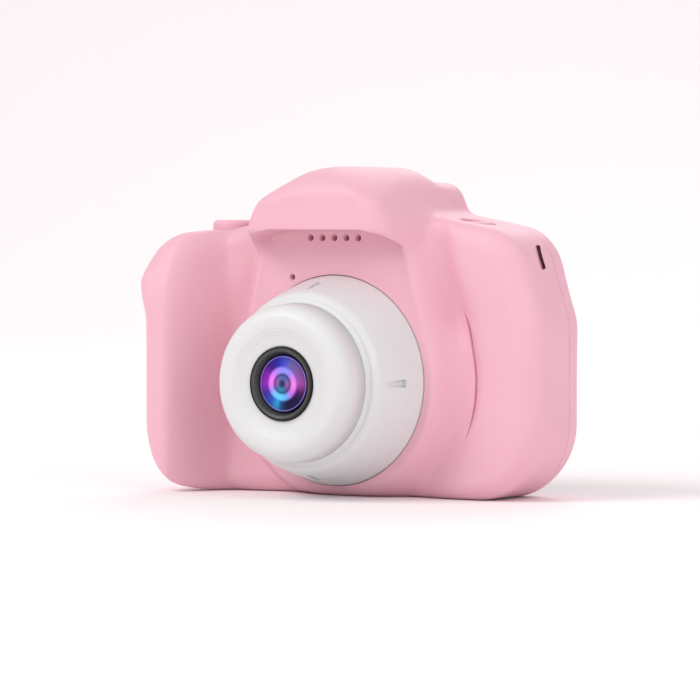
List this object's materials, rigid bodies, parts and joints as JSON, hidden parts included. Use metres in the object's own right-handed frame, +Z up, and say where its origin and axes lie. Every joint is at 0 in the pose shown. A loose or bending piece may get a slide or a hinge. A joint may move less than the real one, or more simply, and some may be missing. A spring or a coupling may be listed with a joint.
{
  "type": "kids digital camera",
  "caption": "Small toy digital camera with a moulded grip, a visor over a protruding lens drum, a rear screen and push keys.",
  "frame": {"origin": "centre of the footprint on the flat underside", "axes": "+X to the right seen from the front (the user's left), +Y from the lens towards the rear screen, +Z up"},
  "size_m": [0.0808, 0.042, 0.06],
  "materials": {
    "body_pink": "soft satin moulded plastic",
    "lens_white": "satin white plastic",
    "bezel_dark": "fine satin",
    "lens_glass": "coated optical glass",
    "ring_lavender": "anodised",
    "black_plastic": "matt",
    "window_black": "polished clear cover with a black border",
    "board_green": "solder mask",
    "port_steel": "plated",
    "screw_steel": "zinc plated",
    "cell_foil": "foil pouch",
    "flex_amber": "polyimide film",
    "wire_red": "wire sleeve",
    "wire_black": "wire sleeve",
    "foam_grey": "foam",
    "tray_white": "moulded",
    "key_white": "satin white plastic",
    "switch_black": "moulded"
  },
  "bodies": {
    "camera": {"front_shell": "body_pink", "rear_shell": "body_pink", "lens_drum": "lens_white", "lens_barrel": "lens_white", "lens_bezel": "bezel_dark", "front_glass": "lens_glass", "inner_lens": "lens_glass", "retainer_ring": "ring_lavender", "camera_holder": "black_plastic", "aperture_disc": "black_plastic", "speaker": "black_plastic", "processor_chip": "black_plastic", "display_panel": "black_plastic", "screen_window": "window_black", "main_board": "board_green", "sensor_board": "board_green", "charging_socket": "port_steel", "card_socket": "port_steel", "microphone": "port_steel", "shell_screw_1": "screw_steel", "shell_screw_2": "screw_steel", "shell_screw_3": "screw_steel", "shell_screw_4": "screw_steel", "board_screw_1": "screw_steel", "board_screw_2": "screw_steel", "battery": "cell_foil", "camera_flex": "flex_amber", "display_flex": "flex_amber", "battery_lead_red": "wire_red", "speaker_lead_red": "wire_red", "battery_lead_black": "wire_black", "speaker_lead_black": "wire_black", "speaker_gasket": "foam_grey", "screen_gasket": "foam_grey", "display_tray": "tray_white", "battery_plug": "tray_white", "mode_key_switch": "switch_black", "up_key_switch": "switch_black", "down_key_switch": "switch_black", "left_key_switch": "switch_black", "right_key_switch": "switch_black", "ok_key_switch": "switch_black", "shutter_key_switch": "switch_black", "power_key_switch": "switch_black"},
    "shutter_key": {"shutter_key_cap": "body_pink", "shutter_key_plunger": "switch_black"},
    "power_key": {"power_key_cap": "body_pink", "power_key_plunger": "switch_black"},
    "mode_key": {"mode_key_cap": "key_white", "mode_key_plunger": "switch_black"},
    "up_key": {"up_key_cap": "key_white", "up_key_plunger": "switch_black"},
    "down_key": {"down_key_cap": "key_white", "down_key_plunger": "switch_black"},
    "left_key": {"left_key_cap": "key_white", "left_key_plunger": "switch_black"},
    "right_key": {"right_key_cap": "key_white", "right_key_plunger": "switch_black"},
    "ok_key": {"ok_key_cap": "key_white", "ok_key_plunger": "switch_black"}
  },
  "joints": [
    {"name": "shutter_key_press", "type": "slide", "parent": "camera", "child": "shutter_key", "axis": [0, 0, -1], "range_m": [0, 0.001], "stiffness_N_per_m": 800, "springref_m": -0.001},
    {"name": "power_key_press", "type": "slide", "parent": "camera", "child": "power_key", "axis": [0, 0, -1], "range_m": [0, 0.0006], "stiffness_N_per_m": 800, "springref_m": -0.001},
    {"name": "mode_key_press", "type": "slide", "parent": "camera", "child": "mode_key", "axis": [0, -1, 0], "range_m": [0, 0.0006], "stiffness_N_per_m": 800, "springref_m": -0.001},
    {"name": "up_key_press", "type": "slide", "parent": "camera", "child": "up_key", "axis": [0, -1, 0], "range_m": [0, 0.0006], "stiffness_N_per_m": 800, "springref_m": -0.001},
    {"name": "down_key_press", "type": "slide", "parent": "camera", "child": "down_key", "axis": [0, -1, 0], "range_m": [0, 0.0006], "stiffness_N_per_m": 800, "springref_m": -0.001},
    {"name": "left_key_press", "type": "slide", "parent": "camera", "child": "left_key", "axis": [0, -1, 0], "range_m": [0, 0.0006], "stiffness_N_per_m": 800, "springref_m": -0.001},
    {"name": "right_key_press", "type": "slide", "parent": "camera", "child": "right_key", "axis": [0, -1, 0], "range_m": [0, 0.0006], "stiffness_N_per_m": 800, "springref_m": -0.001},
    {"name": "ok_key_press", "type": "slide", "parent": "camera", "child": "ok_key", "axis": [0, -1, 0], "range_m": [0, 0.0006], "stiffness_N_per_m": 800, "springref_m": -0.001}
  ]
}
